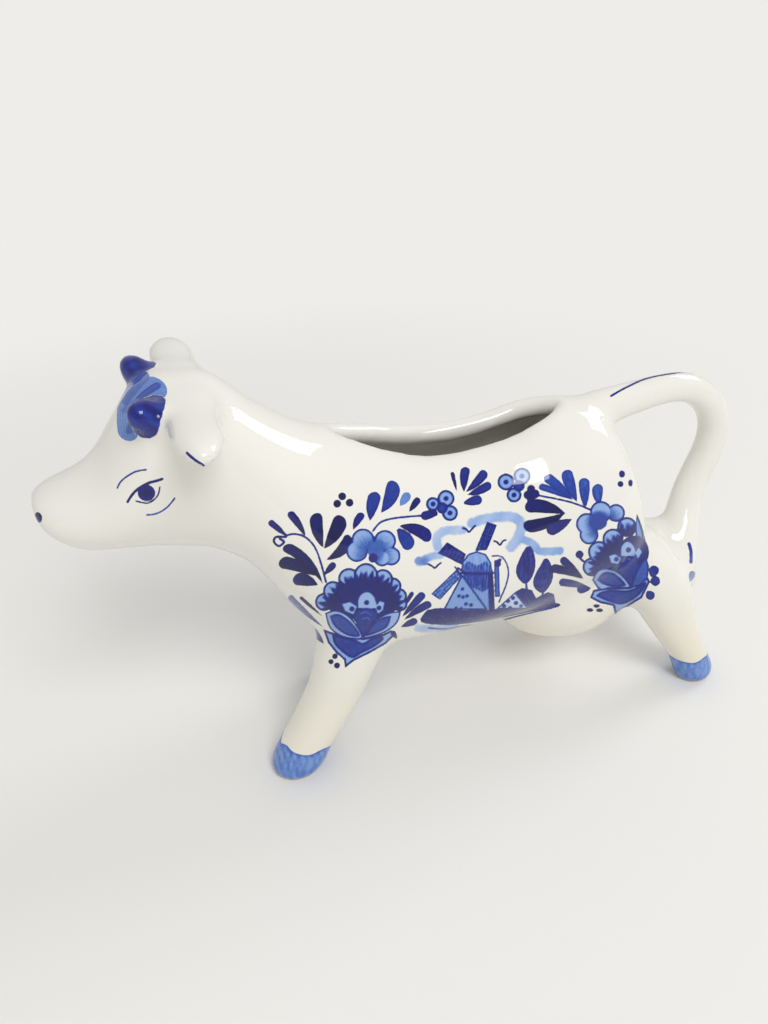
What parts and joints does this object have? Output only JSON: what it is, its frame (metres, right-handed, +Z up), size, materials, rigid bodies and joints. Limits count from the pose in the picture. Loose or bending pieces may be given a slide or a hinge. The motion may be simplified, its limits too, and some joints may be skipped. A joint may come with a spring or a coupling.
{
  "type": "cow creamer",
  "caption": "Hollow white earthenware walking cow that holds milk: filled through the long opening on its back, poured from its mouth, its looped tail the handle",
  "frame": {"origin": "On the table under the middle of the cow: centre of its outline from above, at the height of the soles of its feet.", "axes": "X runs from the muzzle at -X to the tail at +X, Y from the cow's left flank at -Y to its right flank at +Y, Z is up. It stands on the table at rest."},
  "size_m": [0.1644, 0.0634, 0.0986],
  "materials": {
    "glaze": "gloss",
    "cobalt": "gloss"
  },
  "bodies": {
    "root": {"body_shell": "glaze", "head_shell": "glaze", "leg_front_left": "glaze", "leg_front_right": "glaze", "leg_hind_left": "glaze", "leg_hind_right": "glaze", "udder": "glaze", "tail_handle": "glaze", "ear_left": "glaze", "ear_right": "glaze", "horn_left": "cobalt", "horn_right": "cobalt"}
  },
  "joints": []
}
